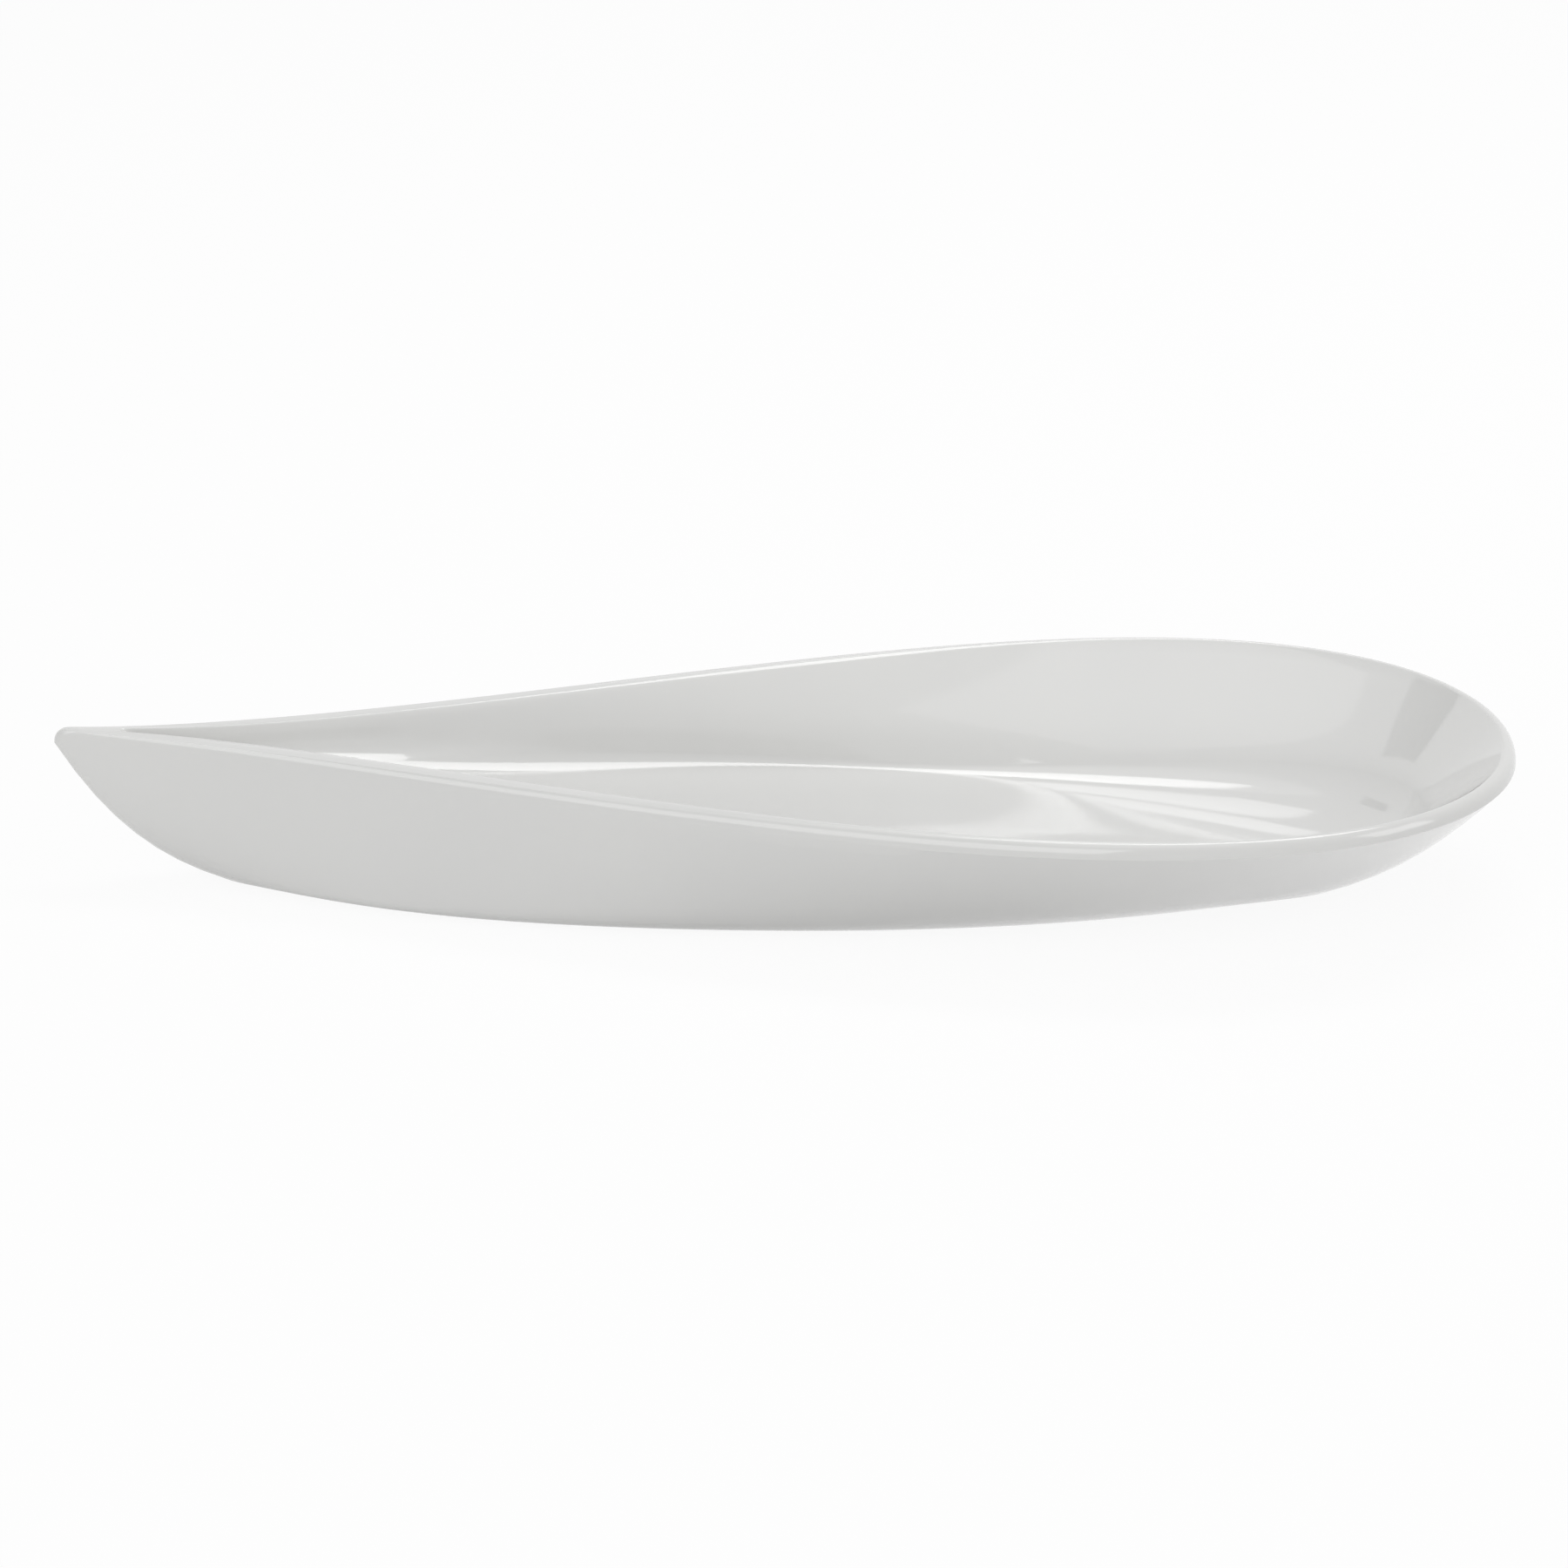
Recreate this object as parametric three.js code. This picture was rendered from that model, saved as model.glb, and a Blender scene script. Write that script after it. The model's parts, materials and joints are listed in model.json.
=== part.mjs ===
// Teardrop serving platter: a fired porcelain body under two coats of glaze.
// Millimetres, +Z up. The origin is on the table, under the middle of the length.
// +X points to the round end and -X to the tip, and the XZ plane is the plane of symmetry.
import * as THREE from 'three';

// Outline of the rim
const LENGTH = 406;
const WIDTH = 193;
const TAPER = 2.03; // how sharply the flanks draw in to the tip
const RIM_THICKNESS = 5.6;
const RIM_CAP = 4; // height of the rounded edge
const NOSE_LENGTH = 21; // solid porcelain between the tip and the well
const NOSE_TURN = 12; // how gently the outline turns round the tip
const WELL_TIP_RADIUS = 1.5;

// Heights above the table
const RIM_HEIGHT = 42.3; // crest of the rim at the round end
const RIM_SAG = 1.8; // how far the flanks dip below it
const TIP_LIFT = 1.6; // how far the tip stands above it
const FLOOR_HEIGHT = 7; // at the round end
const FLOOR_RISE = 28.6; // how far the floor would climb up to the tip
const RISE_START = 150; // place along X where it begins to climb
const FLOOR_THICKNESS = 5;

// Base and foot ring
const BASE_LENGTH = 283;
const BASE_WIDTH = 108.4;
const BASE_FILLET = 10; // run of the rounding between wall and base
const FOOT_HEIGHT = 1;
const FOOT_WIDTH = 6;
const FOOT_ROUNDING = 0.4;

// Bend of the outer wall between base and rim: 1 is a straight flare, 2 a parabola
const SIDE_BEND = 1.1;
const END_BEND = 2.15;
const END_FOCUS = 8; // how closely the bend of the end keeps to the end
const TIP_BEND = 2.59;
const TIP_FOCUS = 2;
const FILLET_SHARE = 0.3; // part of the outer wall that its fillet takes

// Well: the level part of the floor, and the oval on which wall and floor would meet
const FLOOR_LENGTH = 199.5;
const FLOOR_WIDTH = 40;
const FLOOR_SHIFT = 39.4; // towards the round end
const WELL_LENGTH = 257;
const WELL_WIDTH = 118;
const WELL_SHIFT = 41.5;
const WELL_BEND = 0.6; // under 1, so that the wall is steep at its foot and flares to the rim
const COVE_SHARE = 0.05; // part of the inner wall that the cove takes on the flanks
const END_COVE_SHARE = 0.29;
const TIP_COVE_SHARE = 0.43;

// Finish
const GLAZE = 0.4; // thickness of the coats
const GLAZE_COLOUR = '#e3e3e1';
const GLAZE_ROUGHNESS = 0.12;
const PORCELAIN_COLOUR = '#e9e6df';
const PORCELAIN_ROUGHNESS = 0.75;

// Fineness of the surface
const COLUMNS = 64;
const FLOOR_ROWS = 3;
const COVE_ROWS = 8;
const WALL_ROWS = 4;
const FILLET_ROWS = 3;
const CAP_ROWS = 3;

const ANGLES = Array.from({ length: COLUMNS }, (_, column) => Math.PI * (2 * column / COLUMNS - 1));
const lift = (point, height) => new THREE.Vector3(point.x, point.y, height);
const shares = (from, to, count) =>
  Array.from({ length: count }, (_, step) => from + (to - from) * (step + 1) / count);

// Plan outlines, as functions of the angle: 0 is the round end and PI the tip
function ellipse(length, width, shift = 0) {
  return (angle) => new THREE.Vector2(shift + length / 2 * Math.cos(angle), width / 2 * Math.sin(angle));
}

function teardrop(tip, end, width, corner) {
  const reach = (end - tip) / 2 - corner;
  const widest = 2 * Math.atan(1 / Math.sqrt(TAPER + 1));
  const girth = (width / 2 - corner) / (Math.sin(widest) * Math.cos(widest / 2) ** TAPER);
  return (angle) => {
    const narrowing = Math.abs(Math.cos(angle / 2)) ** TAPER;
    const turning = TAPER / 2 * Math.sin(angle) * Math.tan(angle / 2) * narrowing;
    const spine = new THREE.Vector2(reach * Math.cos(angle), girth * Math.sin(angle) * narrowing);
    const slope = girth * (Math.cos(angle) * narrowing - turning);
    const outward = new THREE.Vector2(slope - NOSE_TURN, reach * Math.sin(angle)).normalize();
    spine.x += (tip + end) / 2;
    return spine.addScaledVector(outward, corner);
  };
}

const outerBase = ellipse(BASE_LENGTH, BASE_WIDTH);
const levelFloor = ellipse(FLOOR_LENGTH, FLOOR_WIDTH, FLOOR_SHIFT);
const wellFoot = ellipse(WELL_LENGTH, WELL_WIDTH, WELL_SHIFT);
const outerRim = teardrop(-LENGTH / 2, LENGTH / 2, WIDTH, RIM_THICKNESS / 2);
const innerRim = teardrop(
  -LENGTH / 2 + NOSE_LENGTH, LENGTH / 2 - RIM_THICKNESS, WIDTH - 2 * RIM_THICKNESS, WELL_TIP_RADIUS);

// Height of the rim's crest: it dips along the flanks and rises to the tip
function crest(x) {
  const along = x / (LENGTH / 2);
  return RIM_HEIGHT - RIM_SAG * (1 - along ** 2) * (1 - along) + TIP_LIFT * (1 - along) / 2;
}

// Climb of the floor towards the tip
function climb(x) {
  const share = Math.max(RISE_START - x, 0) / (RISE_START + LENGTH / 2);
  return FLOOR_RISE * share ** 2;
}

function outerBend(angle) {
  const along = Math.cos(angle);
  return along > 0
    ? THREE.MathUtils.lerp(SIDE_BEND, END_BEND, along ** END_FOCUS)
    : THREE.MathUtils.lerp(SIDE_BEND, TIP_BEND, along ** TIP_FOCUS);
}

// A wall rises from a base to a rim outline, from share 0 to share 1
function wall(base, root, rim, bend) {
  return (angle, share) => {
    const foot = root(base(angle).x);
    const edge = crest(rim(angle).x) - RIM_CAP;
    return lift(base(angle).lerp(rim(angle), share), foot + (edge - foot) * share ** bend(angle));
  };
}

const floorHeight = (x) => FLOOR_HEIGHT + climb(x);
const outerWall = wall(outerBase, () => FOOT_HEIGHT, outerRim, outerBend);
const innerWall = wall(wellFoot, floorHeight, innerRim, () => WELL_BEND);

// A fillet is a parabola from one face to the other, drawn towards the corner between them
function fillet(start, corner, end, share) {
  return start.clone().lerp(corner, share).lerp(corner.clone().lerp(end, share), share);
}

const rowOf = (place) => ANGLES.map(place);

// Inside, from the floor up: the level part, a cove and the wall
const onFloor = (point) => lift(point, floorHeight(point.x));
const floorPole = new THREE.Vector2(FLOOR_SHIFT, 0);

function floorRows() {
  return shares(0, 1, FLOOR_ROWS).map((share) =>
    rowOf((angle) => onFloor(floorPole.clone().lerp(levelFloor(angle), share))));
}

function innerWallRows() {
  const coveEnd = (angle) => {
    const far = Math.cos(angle) > 0 ? END_COVE_SHARE : TIP_COVE_SHARE;
    return THREE.MathUtils.lerp(COVE_SHARE, far, Math.cos(angle) ** 2);
  };
  const cove = shares(0, 1, COVE_ROWS).map((share) => rowOf((angle) => fillet(
    onFloor(levelFloor(angle)), onFloor(wellFoot(angle)), innerWall(angle, coveEnd(angle)), share)));
  const rise = shares(0, 1, WALL_ROWS).map((share) => rowOf((angle) =>
    innerWall(angle, THREE.MathUtils.lerp(coveEnd(angle), 1, share))));
  return [...cove, ...rise];
}

// Rounded edge of the rim, from the inner edge over the crest; the nose stays flat between its roundings
function capRows(inner, outer) {
  const quarter = (edge, other, turn) => ANGLES.map((angle, column) => {
    const across = other[column].clone().sub(edge[column]).setZ(0);
    const run = Math.min(across.length(), RIM_THICKNESS) / 2;
    const point = edge[column].clone().addScaledVector(across.normalize(), run * (1 - Math.cos(turn)));
    return point.setZ(edge[column].z + RIM_CAP * Math.sin(turn));
  });
  const turns = shares(0, Math.PI / 2, CAP_ROWS).slice(0, -1);
  const middle = inner.map((point, column) => {
    const centre = point.clone().lerp(outer[column], 1 / 2);
    return centre.setZ(centre.z + RIM_CAP);
  });
  return [
    ...turns.map((turn) => quarter(inner, outer, turn)),
    middle,
    ...turns.reverse().map((turn) => quarter(outer, inner, turn)),
  ];
}

// Outer wall, from the rim's edge down to the fillet that runs in to the foot ring
const footOutline = (inset) =>
  ellipse(BASE_LENGTH - 2 * (BASE_FILLET + inset), BASE_WIDTH - 2 * (BASE_FILLET + inset));

function outerWallRows() {
  const rows = [0, ...shares(0, 1, WALL_ROWS)].map((share) =>
    rowOf((angle) => outerWall(angle, THREE.MathUtils.lerp(1, FILLET_SHARE, share))));
  for (const share of shares(1, 0, FILLET_ROWS)) {
    rows.push(rowOf((angle) => fillet(
      lift(footOutline(0)(angle), FOOT_HEIGHT), lift(outerBase(angle), FOOT_HEIGHT),
      outerWall(angle, FILLET_SHARE), share)));
  }
  return rows;
}

// A closed skin through rows of points, from a first pole to a last one. Past the row where it
// turns back, its triangles lie on those of the rows that it covers.
function closedLoft(first, rows, last, turnBack = rows.length) {
  const points = [first, ...rows.flat(), last];
  const at = (row, column) => 1 + row * COLUMNS + column % COLUMNS;
  const index = [];
  for (let column = 0; column < COLUMNS; column += 1) {
    index.push(0, at(0, column), at(0, column + 1));
    for (let row = 1; row < rows.length; row += 1) {
      const [a, b] = [at(row - 1, column), at(row - 1, column + 1)];
      const [c, d] = [at(row, column + 1), at(row, column)];
      index.push(...(row > turnBack ? [a, d, b, d, c, b] : [a, d, c, a, c, b]));
    }
    index.push(at(rows.length - 1, column), points.length - 1, at(rows.length - 1, column + 1));
  }
  const geometry = new THREE.BufferGeometry().setFromPoints(points);
  geometry.setIndex(index);
  geometry.computeVertexNormals();
  return geometry;
}

// The same rows moved into the porcelain by the glaze's thickness
function underGlaze(top, rows) {
  const bottom = top.clone().setZ(FOOT_HEIGHT);
  const normals = closedLoft(top, rows, bottom).getAttribute('normal');
  return rows.map((row, number) => row.map((point, column) => {
    const normal = new THREE.Vector3().fromBufferAttribute(normals, 1 + number * COLUMNS + column);
    if (number === rows.length - 1) normal.set(0, 0, -1);
    return point.clone().addScaledVector(normal, -GLAZE);
  }));
}

function footRows() {
  const profile = [
    [0, FOOT_ROUNDING], [FOOT_ROUNDING, 0],
    [FOOT_WIDTH - FOOT_ROUNDING, 0], [FOOT_WIDTH, FOOT_ROUNDING],
  ];
  return profile.map(([inset, height]) => rowOf((angle) => lift(footOutline(inset)(angle), height)));
}

function piece(name, geometry, color, roughness) {
  const material = new THREE.MeshStandardMaterial({ color, roughness, metalness: 0 });
  const mesh = new THREE.Mesh(geometry, material);
  mesh.name = name;
  return mesh;
}

// The underside within the foot ring follows the floor
const recessAt = (point, glaze) => lift(point, floorHeight(point.x) - FLOOR_THICKNESS + glaze);
const recessPole = (glaze) => recessAt(new THREE.Vector2(), glaze);
const recessRows = (glaze) => shares(0, 1, FLOOR_ROWS).map((share) =>
  rowOf((angle) => recessAt(footOutline(FOOT_WIDTH)(angle).multiplyScalar(share), glaze)));

const inside = [...floorRows(), ...innerWallRows()];
const outside = outerWallRows();
const glazeFace = [...inside, ...capRows(inside.at(-1), outside[0]), ...outside];
const glazePole = onFloor(floorPole);
const bodyFace = underGlaze(glazePole, glazeFace);
const bodyPole = glazePole.clone().setZ(glazePole.z - GLAZE);

const platter = new THREE.Group();
platter.name = 'serving_platter';
platter.add(piece('porcelain_body',
  closedLoft(bodyPole, [...bodyFace, ...footRows(), ...recessRows(GLAZE).toReversed()], recessPole(GLAZE),
    bodyFace.length + footRows().length),
  PORCELAIN_COLOUR, PORCELAIN_ROUGHNESS));
platter.add(piece('outer_glaze',
  closedLoft(glazePole, [...glazeFace, ...bodyFace.toReversed()], bodyPole, glazeFace.length),
  GLAZE_COLOUR, GLAZE_ROUGHNESS));
platter.add(piece('underside_glaze',
  closedLoft(recessPole(GLAZE), [...recessRows(GLAZE), ...recessRows(0).toReversed()], recessPole(0),
    FLOOR_ROWS),
  GLAZE_COLOUR, GLAZE_ROUGHNESS));

export default platter;
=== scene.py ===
# %% [markdown]
# A porcelain serving platter in Blender
# The platter is a deep white dish with a teardrop outline. It stands on a low bare foot ring,
# and its floor runs through a soft cove into the walls and climbs towards the tip. This lesson
# loads the measured model as a frame and makes each piece again with smooth faces, a finish and
# studio light.

# %% Load the frame
import json
import math
import bmesh
import bpy
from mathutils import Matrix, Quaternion, Vector

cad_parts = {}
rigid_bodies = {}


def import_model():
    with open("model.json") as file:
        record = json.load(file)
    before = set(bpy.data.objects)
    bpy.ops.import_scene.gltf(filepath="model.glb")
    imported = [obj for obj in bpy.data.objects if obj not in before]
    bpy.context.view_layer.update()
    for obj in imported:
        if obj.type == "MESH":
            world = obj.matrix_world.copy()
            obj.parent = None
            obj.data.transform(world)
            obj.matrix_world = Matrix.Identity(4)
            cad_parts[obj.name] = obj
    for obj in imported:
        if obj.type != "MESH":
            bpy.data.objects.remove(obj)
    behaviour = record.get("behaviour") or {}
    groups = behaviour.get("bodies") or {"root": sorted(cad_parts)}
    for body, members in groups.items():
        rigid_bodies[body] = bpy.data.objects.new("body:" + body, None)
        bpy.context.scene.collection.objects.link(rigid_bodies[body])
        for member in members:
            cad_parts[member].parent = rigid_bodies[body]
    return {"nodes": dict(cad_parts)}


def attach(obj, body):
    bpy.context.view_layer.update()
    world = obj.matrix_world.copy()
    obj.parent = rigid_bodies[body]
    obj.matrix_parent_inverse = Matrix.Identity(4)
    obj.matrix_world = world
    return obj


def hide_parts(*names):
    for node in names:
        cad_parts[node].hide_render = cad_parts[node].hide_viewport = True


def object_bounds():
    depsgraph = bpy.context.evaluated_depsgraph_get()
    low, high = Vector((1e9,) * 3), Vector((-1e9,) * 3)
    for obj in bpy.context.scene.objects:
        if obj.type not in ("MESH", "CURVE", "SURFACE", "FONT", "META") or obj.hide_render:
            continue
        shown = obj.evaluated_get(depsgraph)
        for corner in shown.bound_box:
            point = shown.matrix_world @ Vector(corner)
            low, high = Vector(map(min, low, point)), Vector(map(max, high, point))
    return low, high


MM = 0.001  # the scene is in metres, and the sizes below are in millimetres
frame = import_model()
cad_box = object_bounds()
cad_size = [round(v / MM, 1) for v in cad_box[1] - cad_box[0]]
print("frame:", sorted(frame["nodes"]), cad_size, "mm")

# %% [markdown]
# Sizes of the dish
# A dish like this is pressed in a mould, so its form is a few outlines and the curves between
# them. Lengths are in millimetres, and most values are the ones that the solid model was built
# from. The cove, the inner wall and the inner edge of the rim are drawn a little differently
# here, by up to 2 mm, because their gloss shows every change of slope. Naming the sizes once
# means that the coat and the body under it can't drift apart.

# %% Name the sizes
LENGTH, WIDTH = 406, 193
TAPER = 2.03  # how fast the outline narrows towards the tip
RIM_THICKNESS, RIM_CAP = 5.6, 4  # the cap is the rounded top of the rim
RIM_LIP, RIM_SET = 3.2, 1.2  # how far the rim's inner edge is raised and set outwards
LIP_FADE = 4  # power with which both fade out at the tip
NOSE_LENGTH, NOSE_TURN, WELL_TIP_RADIUS = 21, 12, 1.5
RIM_HEIGHT = 42.3
RIM_SAG, TIP_LIFT = 1.8, 1.6  # the crest dips along the flanks and rises to the tip
FLOOR_HEIGHT, FLOOR_THICKNESS = 7, 5
FLOOR_RISE, RISE_START = 28.6, 150  # climb of the floor to the tip, and where along X it starts
BASE_LENGTH, BASE_WIDTH, BASE_FILLET = 283, 108.4, 10
FOOT_HEIGHT, FOOT_WIDTH, FOOT_ROUNDING = 1, 6, 0.4
SIDE_BEND, END_BEND, TIP_BEND = 1.1, 2.15, 2.59  # outer wall: 1 is straight, more is rounder
END_FOCUS, TIP_FOCUS = 8, 2  # how closely a bend keeps to the round end and to the tip
FILLET_SHARE = 0.3  # share of the outer wall that the fillet at its foot takes
FLOOR_LENGTH, FLOOR_WIDTH, FLOOR_SHIFT = 199.5, 40, 39.4
WELL_LENGTH, WELL_WIDTH, WELL_SHIFT = 257, 118, 41.5
WELL_FOOT, WELL_FADE = 0.25, 8  # inner wall: how steep its foot is, and how soon it runs straight
COVE_SHARE, END_COVE_SHARE, TIP_COVE_SHARE = 0.07, 0.32, 0.47  # shares of the inner wall
GLAZE = 0.4
print("platter", LENGTH, "x", WIDTH, "mm, floor", FLOOR_HEIGHT, "mm above the table")

# %% [markdown]
# Outlines seen from above
# The floor and the foot are ovals, and the rim is a teardrop. Drawing the teardrop by hand as a
# curve would do for one dish, but a formula of the angle gives both edges of the rim from the
# same few sizes. Angle 0 is the round end and half a turn is the tip.

# %% Draw the outlines
TINY = 1e-9  # keeps the teardrop's power from a zero at the tip


def lerp(start, end, share):
    return start + (end - start) * share


def oval(angle, length, width, shift=0):
    return Vector((shift + length / 2 * math.cos(angle), width / 2 * math.sin(angle), 0))


def teardrop(angle, tip, end, width, corner):
    reach = (end - tip) / 2 - corner
    widest = 2 * math.atan(1 / math.sqrt(TAPER + 1))
    girth = (width / 2 - corner) / (math.sin(widest) * math.cos(widest / 2) ** TAPER)
    half = max(abs(math.cos(angle / 2)), TINY)
    narrowing = half ** TAPER
    turning = TAPER / 2 * abs(math.sin(angle)) * abs(math.sin(angle / 2)) * half ** (TAPER - 1)
    slope = girth * (math.cos(angle) * narrowing - turning)
    outward = Vector((slope - NOSE_TURN, reach * math.sin(angle), 0)).normalized()
    along = (tip + end) / 2 + reach * math.cos(angle)
    spine = Vector((along, girth * math.sin(angle) * narrowing, 0))
    return spine + outward * corner


def outer_rim(angle):
    return teardrop(angle, -LENGTH / 2, LENGTH / 2, WIDTH, RIM_THICKNESS / 2)


def inner_rim(angle):
    return teardrop(angle, -LENGTH / 2 + NOSE_LENGTH, LENGTH / 2 - RIM_THICKNESS,
                    WIDTH - 2 * RIM_THICKNESS, WELL_TIP_RADIUS)


def outer_base(angle):
    return oval(angle, BASE_LENGTH, BASE_WIDTH)


def level_floor(angle):
    return oval(angle, FLOOR_LENGTH, FLOOR_WIDTH, FLOOR_SHIFT)


def well_foot(angle):
    return oval(angle, WELL_LENGTH, WELL_WIDTH, WELL_SHIFT)


def foot_oval(angle, inset):
    smaller = 2 * (BASE_FILLET + inset)
    return oval(angle, BASE_LENGTH - smaller, BASE_WIDTH - smaller)


for place, angle in {"tip": math.pi, "round end": 0}.items():
    print(place, "at", [round(v, 1) for v in outer_rim(angle)], "mm")

# %% [markdown]
# Walls and rounded corners
# The wall stands steep beside the tip and flares at the round end. Each wall is a blend from its
# base outline to its rim outline. The outside has a bend that changes round the dish. The inside
# leaves the floor steeply and then runs straight, up to a tight edge just under the crest of the
# rim, because a flat wall mirrors calm, even greys. A fillet is a parabola from one face to the
# next, which is how a wet clay corner settles under the sponge.

# %% Shape the walls
def at_height(point, height):
    return Vector((point.x, point.y, height))


def crest(x):
    along = x / (LENGTH / 2)
    return RIM_HEIGHT - RIM_SAG * (1 - along ** 2) * (1 - along) + TIP_LIFT * (1 - along) / 2


def floor_height(x):
    share = max(RISE_START - x, 0) / (RISE_START + LENGTH / 2)
    return FLOOR_HEIGHT + FLOOR_RISE * share ** 2


def on_floor(point):
    return at_height(point, floor_height(point.x))


def below_crest(point, lift=0):
    return at_height(point, crest(point.x) - RIM_CAP + lift)


def wall(foot, edge, share, rise):
    return at_height(foot.lerp(edge, share), lerp(foot.z, edge.z, rise))


def outer_bend(angle):
    along = math.cos(angle)
    if along > 0:
        return lerp(SIDE_BEND, END_BEND, along ** END_FOCUS)
    return lerp(SIDE_BEND, TIP_BEND, along ** TIP_FOCUS)


def outer_wall(angle, share):
    foot = at_height(outer_base(angle), FOOT_HEIGHT)
    return wall(foot, below_crest(outer_rim(angle)), share, share ** outer_bend(angle))


def inner_edge(angle):
    fade = 1 - ((1 - math.cos(angle)) / 2) ** LIP_FADE
    outward = (outer_rim(angle) - inner_rim(angle)).normalized()
    return below_crest(inner_rim(angle) + outward * RIM_SET * fade, RIM_LIP * fade)


def inner_wall(angle, share):
    left = 1 - share
    rise = 1 - lerp(left, left ** WELL_FADE, WELL_FOOT)
    return wall(on_floor(well_foot(angle)), inner_edge(angle), share, rise)


def fillet(start, corner, end, share):
    return start.lerp(corner, share).lerp(corner.lerp(end, share), share)


print("floor under the tip of the well at", round(floor_height(inner_rim(math.pi).x), 1), "mm")

# %% [markdown]
# Rings inside the dish
# The coat of glaze covers the well, the rim and the outside. It is laid out as rings, from the
# middle of the floor over the rim and down to the foot, because rings follow the form with few
# faces. Each ring is a function of the angle. Inside, the rings lie close together in the cove,
# where the face turns quickly.

# %% Lay out the rings inside
FLOOR_STEPS, COVE_STEPS, WALL_STEPS = 8, 24, 9
floor_pole = Vector((FLOOR_SHIFT, 0, 0))


def spread(count):
    return [(step + 1) / count for step in range(count)]


def floor_rings():
    def level(share):
        return lambda angle: on_floor(floor_pole.lerp(level_floor(angle), share))

    return [level(share) for share in spread(FLOOR_STEPS)]


def inner_wall_rings():
    def cove_end(angle):
        far = END_COVE_SHARE if math.cos(angle) > 0 else TIP_COVE_SHARE
        return lerp(COVE_SHARE, far, math.cos(angle) ** 2)

    def cove(share):
        return lambda angle: fillet(on_floor(level_floor(angle)), on_floor(well_foot(angle)),
                                    inner_wall(angle, cove_end(angle)), share)

    def straight(share):
        return lambda angle: inner_wall(angle, lerp(cove_end(angle), 1, share))

    rings = [cove(share) for share in spread(COVE_STEPS)]
    return rings + [straight(share) for share in spread(WALL_STEPS)]


coat_rings = floor_rings() + inner_wall_rings()
print(len(coat_rings), "rings inside")

# %% [markdown]
# Rings over the rim
# A wet sponge drawn round the rim leaves it rounded. The outer half is a quarter of an ellipse.
# The inner half is a tighter fillet that starts at the edge of the inner wall, so the rim shows
# as a thin bright line. A bevel would give one radius all round, and this rim is broad at the tip.

# %% Lay out the rings of the rim
RIM_IN_STEPS, RIM_OUT_STEPS = 5, 6
RIM_BITE = 0.6  # where along its run the inner fillet has its corner
RIM_REACH = 0.85  # longest run of the inner fillet, as a share of the way to the crest


def quarter_turns(count):
    return [math.pi / 2 * share for share in spread(count)]


def rim_rings():
    def middle(angle):
        point = inner_rim(angle).lerp(outer_rim(angle), 0.5)
        return at_height(point, crest(point.x))

    def inside(share):
        def place(angle):
            edge, top = inner_wall(angle, 1), middle(angle)
            across = at_height(top - edge, 0)
            run = min(RIM_REACH * across.length, RIM_THICKNESS / 2)
            end = at_height(edge + across.normalized() * run, top.z)
            return fillet(edge, at_height(edge.lerp(end, RIM_BITE), top.z), end, share)
        return place

    def outside(turn):
        def place(angle):
            edge = outer_wall(angle, 1)
            across = at_height(inner_rim(angle) - outer_rim(angle), 0)
            run = min(across.length, RIM_THICKNESS) / 2
            point = edge + across.normalized() * run * (1 - math.cos(turn))
            return at_height(point, edge.z + RIM_CAP * math.sin(turn))
        return place

    rings = [inside(share) for share in spread(RIM_IN_STEPS)] + [middle]
    return rings + [outside(turn) for turn in quarter_turns(RIM_OUT_STEPS)[-2::-1]]


coat_rings += rim_rings()
print(len(coat_rings), "rings up to the outer edge of the rim")

# %% [markdown]
# Rings outside
# The outer wall runs down from the rim and turns through a broad fillet into the underside,
# where it meets the foot ring. The fillet has as many rings as the wall above it, so the
# reflections turn smoothly round it.

# %% Lay out the rings outside
OUTSIDE_STEPS, FILLET_STEPS = 8, 8


def outer_wall_rings():
    def straight(share):
        return lambda angle: outer_wall(angle, lerp(1, FILLET_SHARE, share))

    def rounded(share):
        return lambda angle: fillet(
            at_height(foot_oval(angle, 0), FOOT_HEIGHT), at_height(outer_base(angle), FOOT_HEIGHT),
            outer_wall(angle, FILLET_SHARE), 1 - share)

    rings = [straight(share) for share in [0] + spread(OUTSIDE_STEPS)]
    return rings + [rounded(share) for share in spread(FILLET_STEPS)]


coat_rings += outer_wall_rings()
print(len(coat_rings), "rings on the coat")

# %% [markdown]
# Lofting by extrusion
# A hollow form like this is drawn ring by ring: a filled circle is the middle of the floor, and
# its edge is extruded again and again, each new ring moved to its place. Every point remembers
# its angle in a layer of the mesh, which the extrude operator copies to the points it makes.

# %% Loft a dish from rings
COLUMNS = 192  # points round each ring
DISC_RADIUS = 1  # of the circle before its ring is moved


def start_disc(name, centre):
    bpy.ops.object.select_all(action="DESELECT")
    bpy.ops.mesh.primitive_circle_add(vertices=COLUMNS, radius=DISC_RADIUS, fill_type="TRIFAN")
    piece = bpy.context.object
    piece.name = piece.data.name = name
    bpy.ops.object.mode_set(mode="EDIT")
    bpy.ops.mesh.select_mode(type="EDGE")
    bm = bmesh.from_edit_mesh(piece.data)
    angle = bm.verts.layers.float.new("angle")
    for vert in bm.verts:
        if vert.co.length < DISC_RADIUS / 2:
            vert.co = centre * MM
        else:
            vert[angle] = math.atan2(vert.co.y, vert.co.x)
    bmesh.update_edit_mesh(piece.data)
    bpy.ops.mesh.select_all(action="SELECT")
    bpy.ops.mesh.region_to_loop()
    return piece


def move_ring(piece, place):
    bm = bmesh.from_edit_mesh(piece.data)
    angle = bm.verts.layers.float["angle"]
    for vert in bm.verts:
        if vert.select:
            vert.co = place(vert[angle]) * MM
    bmesh.update_edit_mesh(piece.data)


def add_rings(piece, rings):
    for place in rings:
        bpy.ops.mesh.extrude_edges_indiv()
        move_ring(piece, place)


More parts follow.
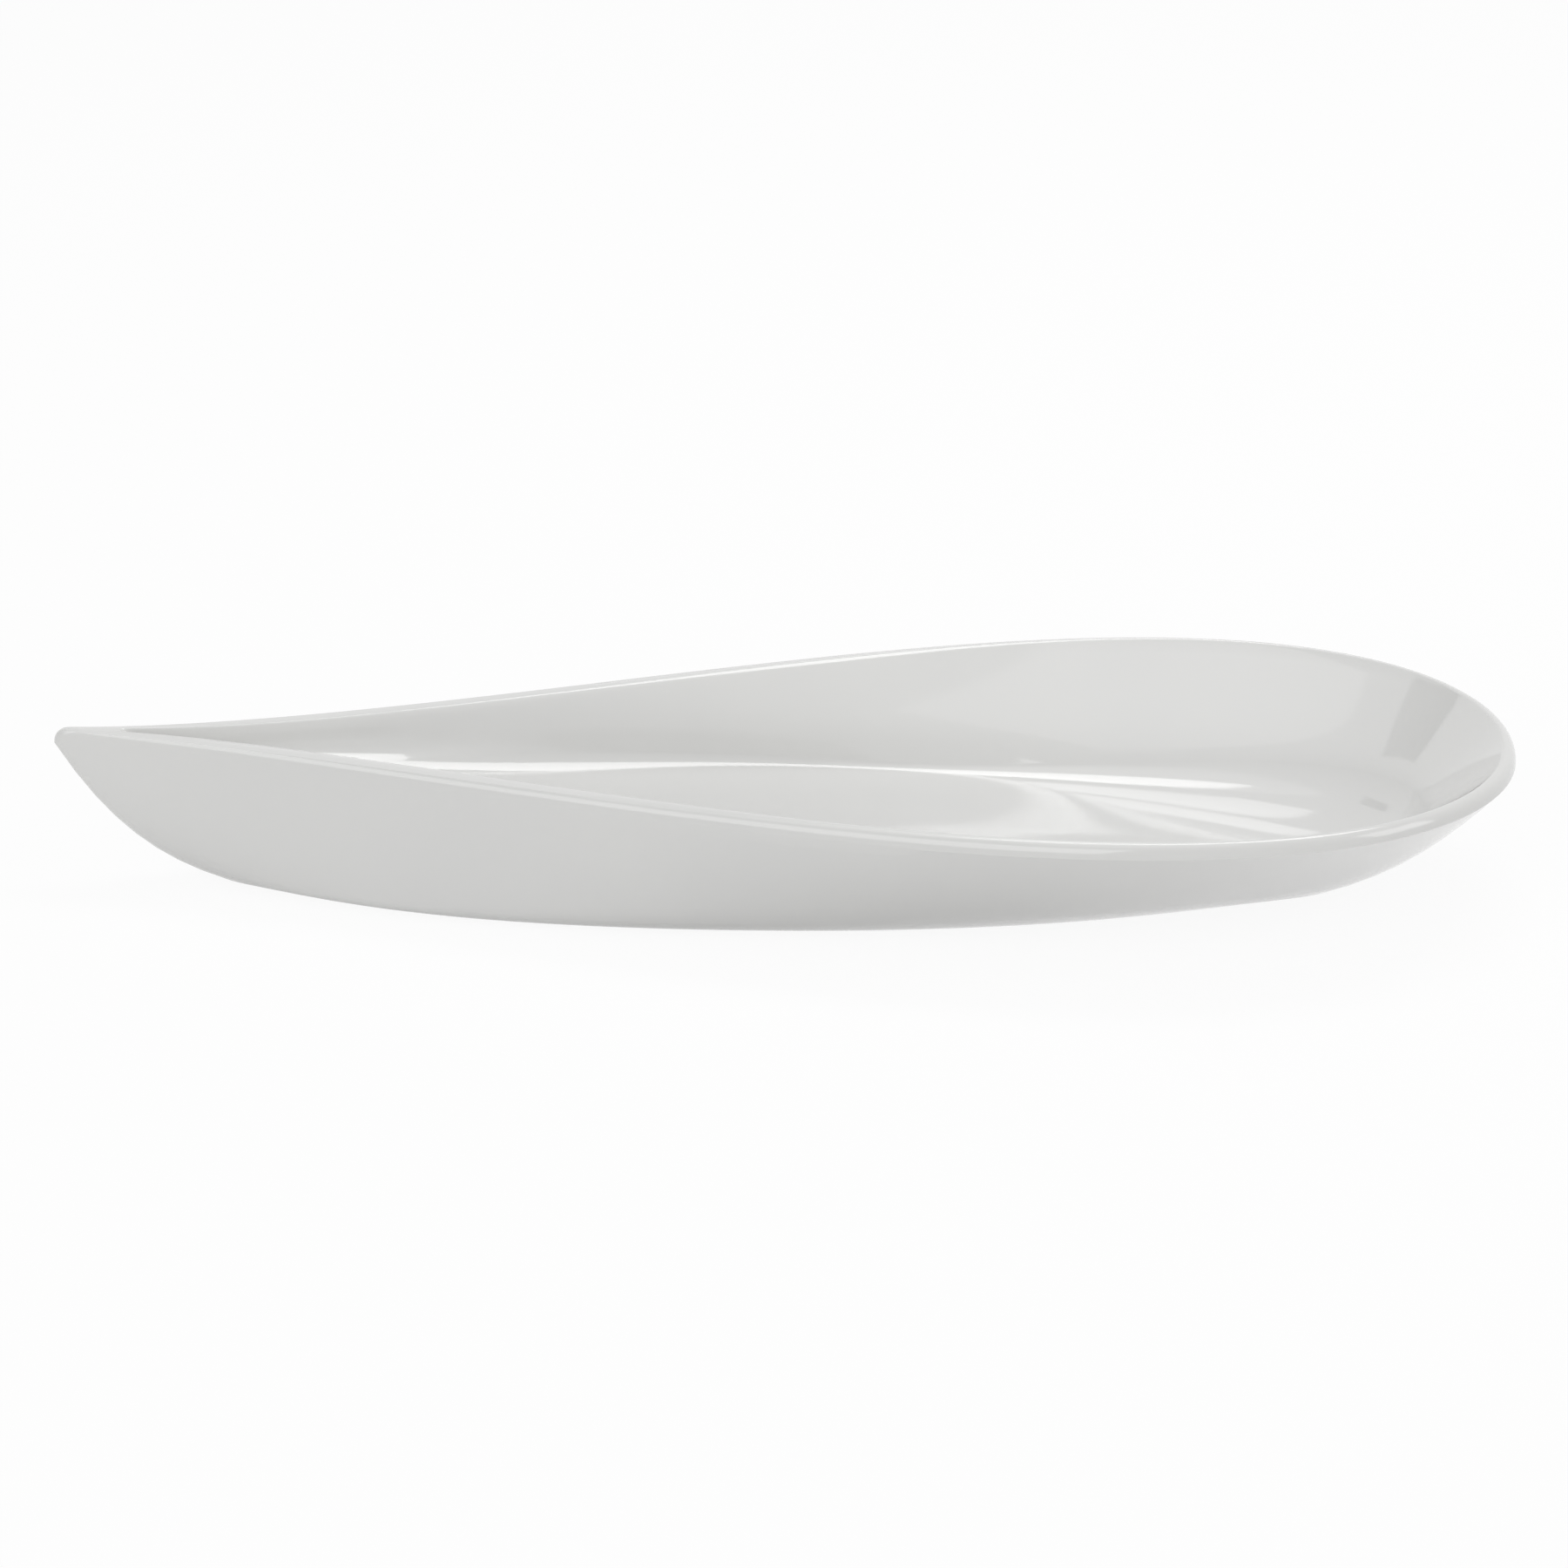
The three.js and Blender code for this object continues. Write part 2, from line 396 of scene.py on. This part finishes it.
def loft(name, centre, rings):
    piece = start_disc(name, centre)
    move_ring(piece, rings[0])
    add_rings(piece, rings[1:])
    return piece


print("loft ready,", COLUMNS, "points to a ring")

# %% [markdown]
# Closing and smoothing
# A loft is closed by extruding its last ring once more and merging the new ring to a point. Then
# the faces are turned outwards and shaded smooth, apart from edges sharper than the crease.

# %% Close and smooth a mesh
CREASE = math.radians(40)


def close_up(piece, centre):
    bpy.ops.mesh.extrude_edges_indiv()
    bpy.ops.mesh.merge(type="CENTER")
    bm = bmesh.from_edit_mesh(piece.data)
    for vert in bm.verts:
        if vert.select:
            vert.co = centre * MM
    bmesh.update_edit_mesh(piece.data)


def face_outwards():
    bpy.ops.mesh.select_all(action="SELECT")
    bpy.ops.mesh.normals_make_consistent(inside=False)


def finish_mesh():
    face_outwards()
    bpy.ops.object.mode_set(mode="OBJECT")
    bpy.ops.object.shade_smooth_by_angle(angle=CREASE)


print("edges over", round(math.degrees(CREASE)), "degrees stay sharp")

# %% [markdown]
# The coat of glaze
# The glaze is a thin glass that the fired dish wears over its food face, rim and outside. It is
# lofted as one open skin and then given its thickness inwards with Solidify, so that its outer
# face stays exactly on the rings.

# %% Make the coat
floor_centre = on_floor(floor_pole)


def loft_coat():
    coat = loft("glaze_coat", floor_centre, coat_rings)
    finish_mesh()
    if coat.data.polygons[0].normal.z < 0:
        bpy.ops.object.mode_set(mode="EDIT")
        bpy.ops.mesh.flip_normals()
        bpy.ops.object.mode_set(mode="OBJECT")
    skin = coat.modifiers.new("Solidify", "SOLIDIFY")
    skin.thickness, skin.offset = GLAZE * MM, -1
    bpy.ops.object.modifier_apply(modifier=skin.name)
    return coat


coat = loft_coat()
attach(coat, "root")
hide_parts("outer_glaze")
up = coat.data.polygons[0].normal.z > 0
print("coat:", len(coat.data.polygons), "faces, floor faces up:", up)

# %% [markdown]
# The porcelain body and its foot ring
# Only the foot ring of the fired body is bare, because a glazed foot would stick to the kiln
# shelf. The body takes the same rings as the coat, sunk by the thickness of the glaze with the
# shrink operator, and goes on round the foot and over the hollow inside it.

# %% Lay out the rings of the foot
FOOT_CORNER = 1.2  # rounding where the foot ring meets the underside
FOOT_STEPS, UNDER_STEPS = 5, 6


def under_floor(point, glaze):
    return at_height(point, floor_height(point.x) - FLOOR_THICKNESS + glaze)


def foot_rings():
    def bottom(inset, height):
        return lambda angle: at_height(foot_oval(angle, inset), height)

    def corner(turn):
        def place(angle):
            inset = FOOT_WIDTH + FOOT_CORNER * (1 - math.cos(turn))
            point = under_floor(foot_oval(angle, inset), GLAZE)
            return at_height(point, point.z - FOOT_CORNER * (1 - math.sin(turn)))
        return place

    turns = [0] + quarter_turns(FOOT_STEPS)
    edge = [(FOOT_ROUNDING * (1 - math.cos(turn)), FOOT_ROUNDING * (1 - math.sin(turn)))
            for turn in turns]
    rings = [bottom(inset, height) for inset, height in edge]
    rings += [bottom(FOOT_WIDTH - inset, height) for inset, height in reversed(edge)]
    return rings + [corner(turn) for turn in turns]


def under_rings(glaze):
    def across(share):
        return lambda angle: under_floor(foot_oval(angle, FOOT_WIDTH + FOOT_CORNER) * share, glaze)

    return [across(share) for share in spread(UNDER_STEPS)]


print(len(foot_rings()), "rings round the foot")

# %% [markdown]
# Joining the body
# The rings of the coat and of the foot become one closed shell. The shrink operator moves along
# the normals, so the coat has an even thickness on the body, and the last ring of the wall is set
# level with the top of the glaze before the foot goes on.

# %% Make the body
def loft_body():
    body = loft("porcelain_dish", floor_centre, coat_rings)
    face_outwards()
    bm = bmesh.from_edit_mesh(body.data)
    bm.faces.ensure_lookup_table()
    inwards = -GLAZE if bm.faces[0].normal.z > 0 else GLAZE
    bpy.ops.transform.shrink_fatten(value=inwards * MM)
    bpy.ops.mesh.region_to_loop()
    move_ring(body, lambda angle: at_height(foot_oval(angle, 0), FOOT_HEIGHT + GLAZE))
    add_rings(body, foot_rings() + under_rings(GLAZE)[-2::-1])
    close_up(body, under_floor(Vector(), GLAZE))
    finish_mesh()
    return body


body = loft_body()
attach(body, "root")
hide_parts("porcelain_body")
lowest = round(min(v.co.z for v in body.data.vertices) / MM, 2)
print("body:", len(body.data.polygons), "faces, lowest point", lowest, "mm")

# %% [markdown]
# The glaze under the dish
# Inside the foot ring the underside is glazed too. It is a shallow oval pool: a disc that is
# extruded up to the body, and that ends where the rounding of the ring's inner corner starts.

# %% Make the underside glaze
def loft_pool():
    rings = under_rings(0) + under_rings(GLAZE)[::-1]
    pool = loft("underside_coat", under_floor(Vector(), 0), rings)
    close_up(pool, under_floor(Vector(), GLAZE))
    finish_mesh()
    return pool


pool = loft_pool()
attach(pool, "root")
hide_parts("underside_glaze")
print("underside coat:", [round(v / MM, 1) for v in pool.dimensions], "mm")

# %% [markdown]
# Helpers for the finishes
# Colours are written as the hex values that a paint program shows. Shaders work in linear light,
# so one function turns them. A second small function adds a node with its settings and links.

# %% Colour and node helpers
def linear(hex_colour):
    parts = [int(hex_colour[i:i + 2], 16) / 255 for i in (1, 3, 5)]
    return [p / 12.92 if p <= 0.04045 else ((p + 0.055) / 1.055) ** 2.4 for p in parts] + [1]


def add(tree, kind, inputs=None, **settings):
    made = tree.nodes.new(kind)
    for name, value in settings.items():
        setattr(made, name, value)
    for socket, value in (inputs or {}).items():
        if isinstance(value, bpy.types.NodeSocket):
            tree.links.new(value, made.inputs[socket])
        else:
            made.inputs[socket].default_value = value
    return made


def new_material(name):
    material = bpy.data.materials.new(name)
    material.use_nodes = True
    material.node_tree.nodes.clear()
    return material, material.node_tree


print("middle grey in linear light:", round(linear("#808080")[0], 3))

# %% [markdown]
# White gloss glaze
# Feldspathic glaze over porcelain is a glass about a third of a millimetre thick, index 1.5. It
# is clear white with soft clouds a hand's width across where it ran thicker, and its skin has the
# faint orange peel of a melt that froze, waves of a few millimetres that only reflections show.

# %% Make the glaze
COLOUR_A, COLOUR_B, COLOUR_OUT = 6, 7, 2  # sockets of a Mix node that mixes colours
THICK_WHITE, THIN_WHITE = linear("#DBDBDA"), linear("#E1E1DF")
CLOUDS = {"Scale": 1 / (70 * MM), "Detail": 2}
SMEARS = {"Scale": 1 / (18 * MM), "Detail": 3}
PEEL = {"Scale": 1 / (6 * MM), "Detail": 1}
PEEL_RELIEF = {"Strength": 0.05, "Distance": 0.05 * MM}
GLOSS = {"To Min": 0.05, "To Max": 0.09}  # roughness, clean and smeared
CERAMIC_INDEX = 1.5


def glaze_material():
    material, tree = new_material("white gloss glaze on porcelain")
    place = add(tree, "ShaderNodeTexCoord").outputs["Object"]
    clouds = add(tree, "ShaderNodeTexNoise", {"Vector": place, **CLOUDS})
    colour = add(tree, "ShaderNodeMix", {
        "Factor": clouds.outputs["Fac"], COLOUR_A: THICK_WHITE, COLOUR_B: THIN_WHITE},
        data_type="RGBA")
    smears = add(tree, "ShaderNodeTexNoise", {"Vector": place, **SMEARS})
    gloss = add(tree, "ShaderNodeMapRange", {"Value": smears.outputs["Fac"], **GLOSS})
    peel = add(tree, "ShaderNodeTexNoise", {"Vector": place, **PEEL})
    skin = add(tree, "ShaderNodeBump", {"Height": peel.outputs["Fac"], **PEEL_RELIEF})
    shader = add(tree, "ShaderNodeBsdfPrincipled", {
        "Base Color": colour.outputs[COLOUR_OUT], "Roughness": gloss.outputs["Result"],
        "IOR": CERAMIC_INDEX, "Normal": skin.outputs["Normal"]})
    add(tree, "ShaderNodeOutputMaterial", {"Surface": shader.outputs["BSDF"]})
    return material


glaze = glaze_material()
for piece in (coat, pool):
    piece.data.materials.append(glaze)
print("finish:", glaze.name)

# %% [markdown]
# Bare fired porcelain
# The foot ring is wiped clean of glaze and rubbed smooth after firing. It is a warm, matt white
# with a fine grit. Real grit is near 0.1 mm, too fine to show, so it is drawn 0.6 mm wide, and
# the faces that touch the table carry the grey of wear.

# %% Make the bare porcelain
CLAY_WHITE, WORN_GREY = linear("#E9E6DF"), linear("#B9B5AC")
GRIT = {"Scale": 1 / (0.6 * MM), "Detail": 2}
GRIT_RELIEF = {"Strength": 0.3, "Distance": 0.05 * MM}
MATT = {"To Min": 0.65, "To Max": 0.85}  # roughness of the grit
WEAR = {"Scale": 1 / (9 * MM), "Detail": 4}
TOUCH = {"From Min": 0, "From Max": 0.3 * MM, "To Min": 0.55, "To Max": 0}  # wear by height


def porcelain_material():
    material, tree = new_material("bare fired porcelain, rubbed")
    place = add(tree, "ShaderNodeTexCoord").outputs["Object"]
    grit = add(tree, "ShaderNodeTexNoise", {"Vector": place, **GRIT})
    wear = add(tree, "ShaderNodeTexNoise", {"Vector": place, **WEAR})
    low = add(tree, "ShaderNodeSeparateXYZ", {"Vector": place})
    touch = add(tree, "ShaderNodeMapRange", {"Value": low.outputs["Z"], **TOUCH})
    rubbed = add(tree, "ShaderNodeMath", {0: wear.outputs["Fac"], 1: touch.outputs["Result"]},
                 operation="MULTIPLY")
    colour = add(tree, "ShaderNodeMix", {
        "Factor": rubbed.outputs["Value"], COLOUR_A: CLAY_WHITE, COLOUR_B: WORN_GREY},
        data_type="RGBA")
    rough = add(tree, "ShaderNodeMapRange", {"Value": grit.outputs["Fac"], **MATT})
    skin = add(tree, "ShaderNodeBump", {"Height": grit.outputs["Fac"], **GRIT_RELIEF})
    shader = add(tree, "ShaderNodeBsdfPrincipled", {
        "Base Color": colour.outputs[COLOUR_OUT], "Roughness": rough.outputs["Result"],
        "IOR": CERAMIC_INDEX, "Normal": skin.outputs["Normal"]})
    add(tree, "ShaderNodeOutputMaterial", {"Surface": shader.outputs["BSDF"]})
    return material


body.data.materials.append(porcelain_material())
print("finish:", body.data.materials[0].name)

# %% [markdown]
# The table
# The dish stands on a white table. A large plane is enough, because its edge is out of sight. To
# the camera and in the gloss the table looks white, and it keeps a share of its own shading, so
# the shadow of the dish stays. Seen from below it lets the camera through.

# %% Make the table
TABLE_SIZE = 12  # metres
TABLE_GLOW = 0.93  # share of plain white, and the rest is shaded paint


def white_to_the_eye(tree):
    path = add(tree, "ShaderNodeLightPath").outputs
    seen = add(tree, "ShaderNodeMath", {0: path["Is Camera Ray"], 1: path["Is Glossy Ray"]},
               operation="MAXIMUM")
    either = add(tree, "ShaderNodeMath", {
        0: seen.outputs["Value"], 1: path["Is Transmission Ray"]}, operation="MAXIMUM")
    return either.outputs["Value"]


def table_material():
    material, tree = new_material("white table")
    seen = add(tree, "ShaderNodeMath", {0: white_to_the_eye(tree), 1: TABLE_GLOW},
               operation="MULTIPLY")
    paint = add(tree, "ShaderNodeBsdfDiffuse", {"Color": linear("#F2F2F2")})
    glow = add(tree, "ShaderNodeEmission", {"Strength": 1})
    top = add(tree, "ShaderNodeMixShader", {
        "Fac": seen.outputs["Value"], 1: paint.outputs["BSDF"], 2: glow.outputs["Emission"]})
    clear = add(tree, "ShaderNodeBsdfTransparent")
    below = add(tree, "ShaderNodeNewGeometry").outputs["Backfacing"]
    both = add(tree, "ShaderNodeMixShader", {
        "Fac": below, 1: top.outputs["Shader"], 2: clear.outputs["BSDF"]})
    add(tree, "ShaderNodeOutputMaterial", {"Surface": both.outputs["Shader"]})
    return material


bpy.ops.object.select_all(action="DESELECT")
bpy.ops.mesh.primitive_plane_add(size=TABLE_SIZE)
floor = bpy.context.object
floor.name = "floor"
floor.data.materials.append(table_material())
print("table", TABLE_SIZE, "m wide")

# %% [markdown]
# The room
# The world stands for a white room. It looks white to the camera and in the gloss, and lights the
# dish from all sides with a lower level, so that the white of the glaze doesn't clip.

# %% Make the world
ROOM_LEVEL = 0.37


def make_world():
    world = bpy.data.worlds.new("studio")
    bpy.context.scene.world = world
    world.use_nodes = True
    tree = world.node_tree
    tree.nodes.clear()
    strength = add(tree, "ShaderNodeMapRange", {
        "Value": white_to_the_eye(tree), "To Min": ROOM_LEVEL, "To Max": 1})
    sky = add(tree, "ShaderNodeBackground", {
        "Color": linear("#FFFFFF"), "Strength": strength.outputs["Result"]})
    add(tree, "ShaderNodeOutputWorld", {"Surface": sky.outputs["Background"]})


make_world()
print("room level", ROOM_LEVEL)

# %% [markdown]
# Soft boxes
# Gloss is drawn by what it mirrors, so each box hangs where the light of one feature has to come
# from. A strong box behind and above the dish draws the bright line along the foot of the far
# wall. Two narrow ones behind it draw the bands on the floor, and the gaps between leave dark
# lines. A faint one overhead lies as a pale panel in the far wall. Boxes in front and at the side
# light the walls.

# %% Hang the soft boxes
CEILING = 1.5  # metres above the table
ABOVE_TABLE = {  # middle along X and Y, size along X and Y before the turn, radiance, turn
    "box_line": (0.387, 0.631, 1.06, 0.56, 4.7, -29),
    "box_band_near": (0.108, 1.658, 0.21, 0.9, 1.6, -29),
    "box_band_far": (0.2, 2.33, 0.19, 0.57, 1.2, -29),
    "box_panel": (0, 0.113, 0.67, 1.62, 0.6, 14),
}
ON_STANDS = {  # place, size, radiance
    "box_front": ((-0.8, -1.5, 0.95), (1.6, 1.1), 2.3),
    "box_side": ((1.6, -0.4, 0.7), (0.8, 0.8), 2.6),
}


def soft_box(name, place, aim, size, radiance, turn=0):
    bpy.ops.object.light_add(type="AREA", location=place)
    lamp = bpy.context.object
    lamp.name = name
    facing = (Vector(aim) - Vector(place)).to_track_quat("-Z", "Y")
    lamp.rotation_euler = (Quaternion((0, 0, 1), math.radians(turn)) @ facing).to_euler()
    lamp.data.shape = "RECTANGLE"
    lamp.data.size, lamp.data.size_y = size
    lamp.data.energy = radiance * math.pi * size[0] * size[1]


for name, (x, y, along, across, radiance, turn) in ABOVE_TABLE.items():
    soft_box(name, (x, y, CEILING), (x, y, 0), (along, across), radiance, turn)
for name, (place, size, radiance) in ON_STANDS.items():
    soft_box(name, place, (0, 0, 0), size, radiance)

# %% [markdown]
# The black card
# Photographers of gloss hang black cards where a face should mirror something dark. This one is
# mirrored as a dark bar in the wall of the round end. A gap between boxes couldn't draw it,
# because the room behind them is white. The camera doesn't see the card, so a view from below
# stays clear.

# %% Hang the card
CARD_PLACE, CARD_SIZE, CARD_TURN = (-1.074, 1.602, CEILING), (0.27, 1.05), math.radians(23.6)


def card_material():
    material, tree = new_material("black card")
    paint = add(tree, "ShaderNodeBsdfDiffuse", {"Color": linear("#1A1A1A")})
    add(tree, "ShaderNodeOutputMaterial", {"Surface": paint.outputs["BSDF"]})
    return material


bpy.ops.mesh.primitive_plane_add(size=1, location=CARD_PLACE, rotation=(math.pi, 0, CARD_TURN))
card = bpy.context.object
card.name = "card_dark"
card.scale = (*CARD_SIZE, 1)
card.data.materials.append(card_material())
card.visible_camera = False
print("card", CARD_SIZE, "m")

# %% [markdown]
# The camera
# The dish is seen from 19 degrees above the table, from 1.7 m away with a long lens, which keeps
# its outline calm. It aims at the table, so the lens is shifted up a little, which brings the
# dish down to the middle of the square.

# %% Place the camera
DISTANCE, ELEVATION = 1.7, math.radians(19)
PICTURE_PIXELS, FOCAL_PIXELS, DROP_PIXELS = 1800, 6963.2, 103.8
SENSOR = 36  # millimetres
aim = Vector((0, 0, FOOT_HEIGHT * MM))
away = Vector((0, -math.cos(ELEVATION), math.sin(ELEVATION)))
bpy.ops.object.camera_add(location=aim + DISTANCE * away,
                          rotation=(math.pi / 2 - ELEVATION, 0, 0))
camera = bpy.context.object
camera.data.sensor_width = SENSOR
camera.data.lens = SENSOR * FOCAL_PIXELS / PICTURE_PIXELS
camera.data.shift_y = DROP_PIXELS / PICTURE_PIXELS
bpy.context.scene.camera = camera
bpy.context.scene.view_settings.view_transform = "Standard"
print("camera lens", round(camera.data.lens, 1), "mm")
